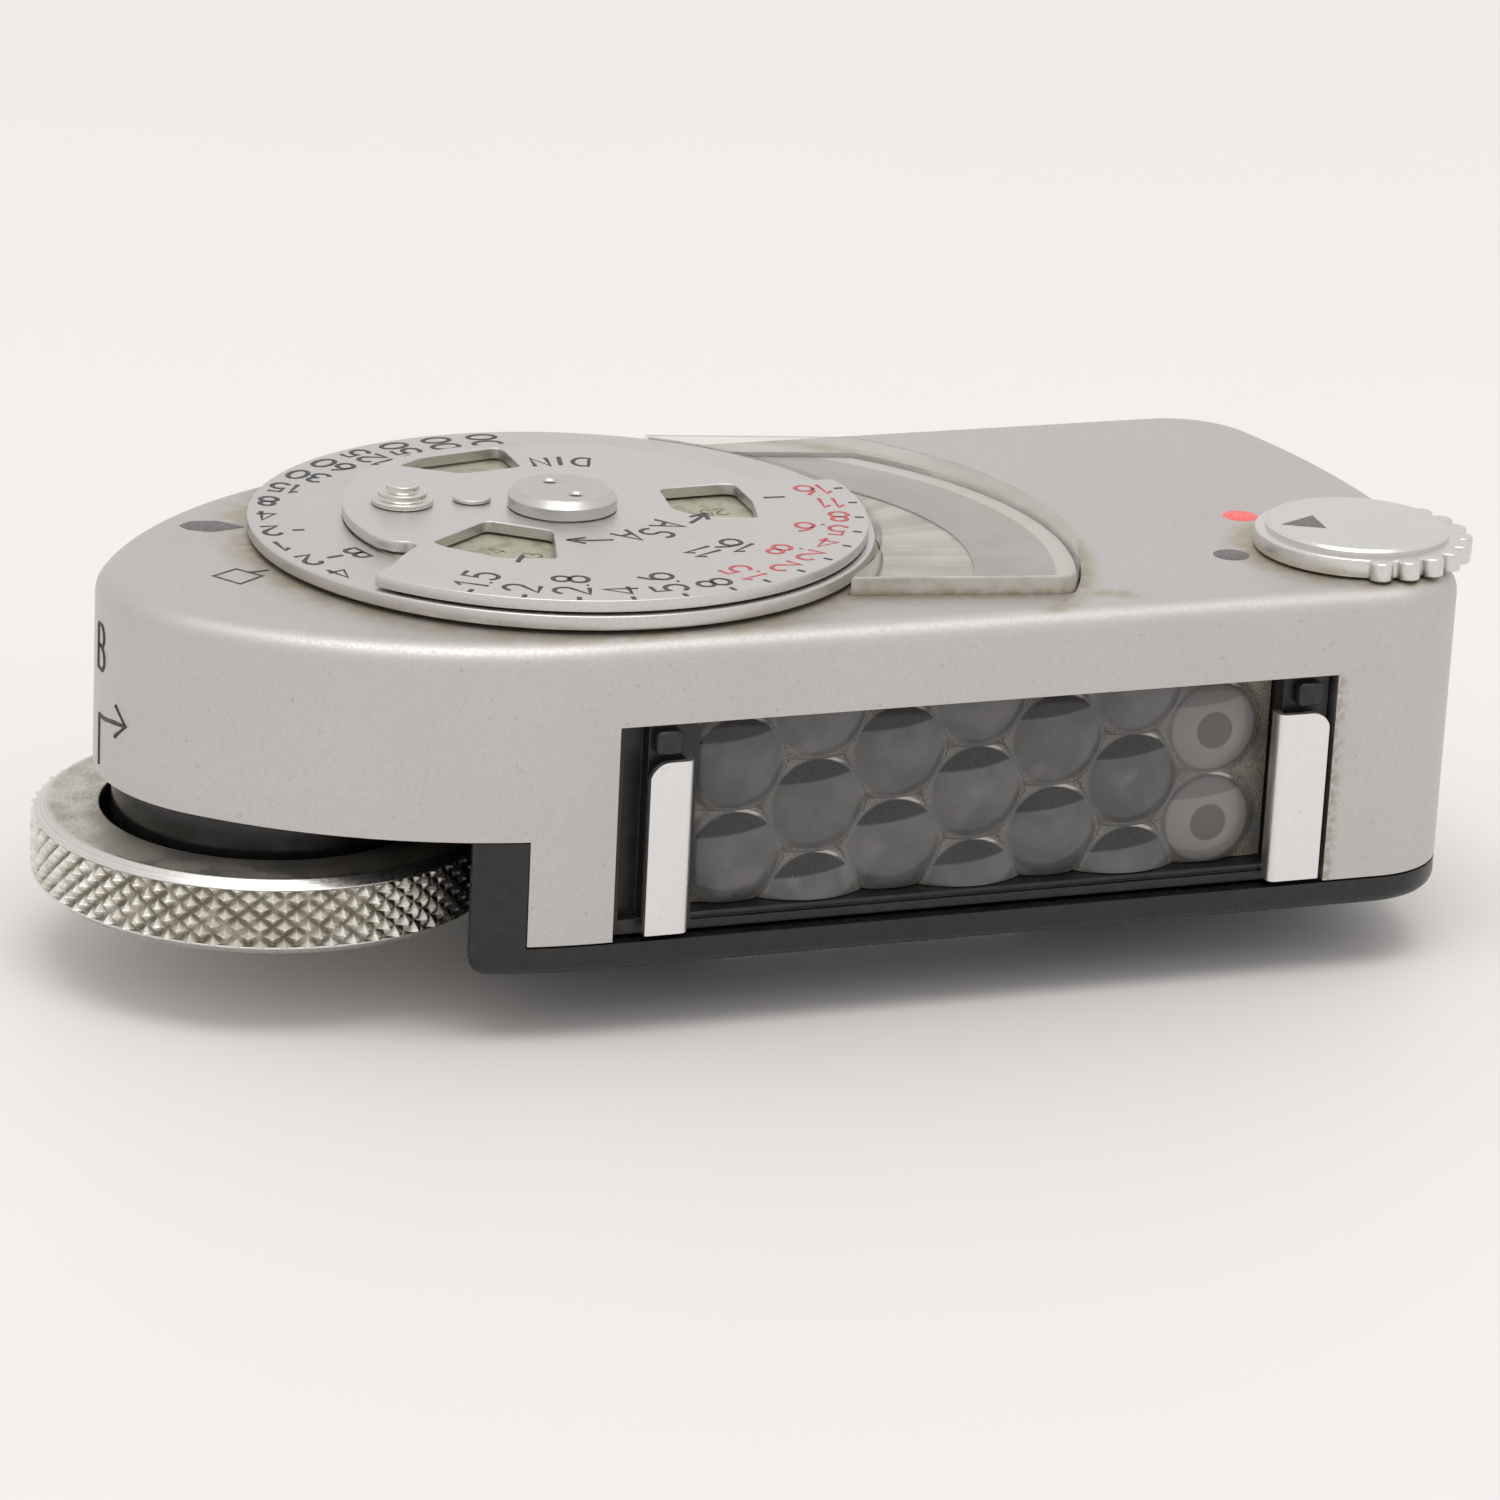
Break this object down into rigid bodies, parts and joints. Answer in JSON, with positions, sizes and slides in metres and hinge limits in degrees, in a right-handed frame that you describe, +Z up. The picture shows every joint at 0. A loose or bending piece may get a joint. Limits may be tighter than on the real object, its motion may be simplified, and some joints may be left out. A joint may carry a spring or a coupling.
{
  "type": "selenium light meter",
  "caption": "Clip-on selenium exposure meter for a camera's accessory shoe, with a honeycomb light cell, a needle window, turning exposure dials and a knurled coupling wheel.",
  "frame": {"origin": "centre of the accessory foot's flat underside", "axes": "+Z up out of the dial; +X towards the range lever; -Y towards the honeycomb cell, which is the side that faces the scene"},
  "size_m": [0.0736, 0.0336, 0.0233],
  "materials": {
    "satin_casing": "satin",
    "black_base": "satin",
    "dark_steel": "blackened",
    "foot_metal": "satin chrome",
    "spring_steel": "bright",
    "bright_steel": "turned",
    "polished_steel": "polished",
    "black_frame": "matt",
    "clear_lens": "clear moulding",
    "selenium": "grey lacquered",
    "brass": "turned",
    "rail_metal": "satin chrome",
    "wheel_chrome": "diamond knurled",
    "plate_brass": "stamped",
    "shutter_scale": "fine brushed",
    "film_scale": "aged",
    "aperture_scale": "fine brushed",
    "clear_window": "clear moulding",
    "card_white": "matt white and grey",
    "needle_black": "matt",
    "aluminium_former": "plain",
    "copper_wire": "enamelled copper",
    "magnet_dark": "ground",
    "ruby": "polished",
    "lever_metal": "satin",
    "phenolic": "laminate",
    "resistor_body": "lacquered"
  },
  "bodies": {
    "housing": {"top_casing": "satin_casing", "base_housing": "black_base", "base_screws": "dark_steel", "accessory_foot": "foot_metal", "foot_spring": "spring_steel", "foot_screws": "bright_steel", "cell_frame": "black_frame", "honeycomb_lens": "clear_lens", "cell_plate": "selenium", "cell_contacts": "brass", "left_rail": "rail_metal", "right_rail": "rail_metal", "booster_contacts": "black_frame", "idler_post": "bright_steel", "gear_plate": "plate_brass", "plate_screws": "bright_steel", "window_cover": "clear_window", "scale_card": "card_white", "core_magnet": "magnet_dark", "yoke_ring": "magnet_dark", "upper_bridge": "plate_brass", "lower_bridge": "plate_brass", "jewels": "ruby", "hair_springs": "spring_steel", "range_plate": "phenolic", "range_resistor": "resistor_body"},
    "spindle": {"wheel_spindle": "bright_steel", "wheel_screw": "dark_steel", "drive_pinion": "brass", "wheel_spring": "spring_steel"},
    "wheel": {"coupling_wheel": "wheel_chrome", "coupling_pin": "bright_steel"},
    "idler": {"idler_gear": "brass"},
    "shutter_dial": {"dial_shaft": "bright_steel", "dial_gear": "brass", "shutter_disc": "shutter_scale", "film_speed_disc": "film_scale", "dial_nut": "polished_steel"},
    "aperture_dial": {"aperture_disc": "aperture_scale", "setting_stud": "polished_steel", "disc_rivet": "aperture_scale"},
    "movement": {"coil_staff": "bright_steel", "needle": "needle_black", "coil_former": "aluminium_former", "coil_winding": "copper_wire"},
    "range_switch": {"range_lever": "lever_metal", "lever_shaft": "bright_steel", "range_wiper": "brass"},
    "zero_adjuster": {"zero_screw": "bright_steel"}
  },
  "joints": [
    {"name": "wheel_turn", "type": "hinge", "parent": "housing", "child": "spindle", "pos_m": [-0.03087, -0.0011, 0.01], "axis": [0, 0, 1], "range_deg": [-90, 150]},
    {"name": "wheel_lift", "type": "slide", "parent": "spindle", "child": "wheel", "axis": [0, 0, 1], "range_m": [0, 0.0015], "stiffness_N_per_m": 250, "springref_m": -0.001, "deforming": ["wheel_spring"]},
    {"name": "idler_turn", "type": "hinge", "parent": "housing", "child": "idler", "pos_m": [-0.02433, -0.00028, 0.0159], "axis": [0, 0, 1], "range_deg": [-112, 68]},
    {"name": "dial_turn", "type": "hinge", "parent": "housing", "child": "shutter_dial", "pos_m": [-0.015, 0.0009, 0.018], "axis": [0, 0, 1], "range_deg": [-46, 76]},
    {"name": "film_speed_set", "type": "hinge", "parent": "shutter_dial", "child": "aperture_dial", "pos_m": [-0.015, 0.0009, 0.0219], "axis": [0, 0, 1], "range_deg": [-55, 55]},
    {"name": "needle_swing", "type": "hinge", "parent": "housing", "child": "movement", "pos_m": [-0.0088, -0.0023, 0.01], "axis": [0, 0, 1], "range_deg": [0, 73], "stiffness_Nm_per_rad": 0.000002, "springref_deg": -8.59},
    {"name": "range_switch", "type": "hinge", "parent": "housing", "child": "range_switch", "pos_m": [0.0249, -0.0095, 0.02], "axis": [0, 0, 1], "range_deg": [-55, 0]},
    {"name": "zero_adjust", "type": "hinge", "parent": "housing", "child": "zero_adjuster", "pos_m": [-0.0146, -0.0094, 0.0045], "axis": [0, 0, -1], "range_deg": [-30, 30]}
  ],
  "couplings": [
    {"joint": "idler_turn", "follows": "wheel_turn", "ratio": -0.73684},
    {"joint": "dial_turn", "follows": "wheel_turn", "ratio": 0.5}
  ]
}
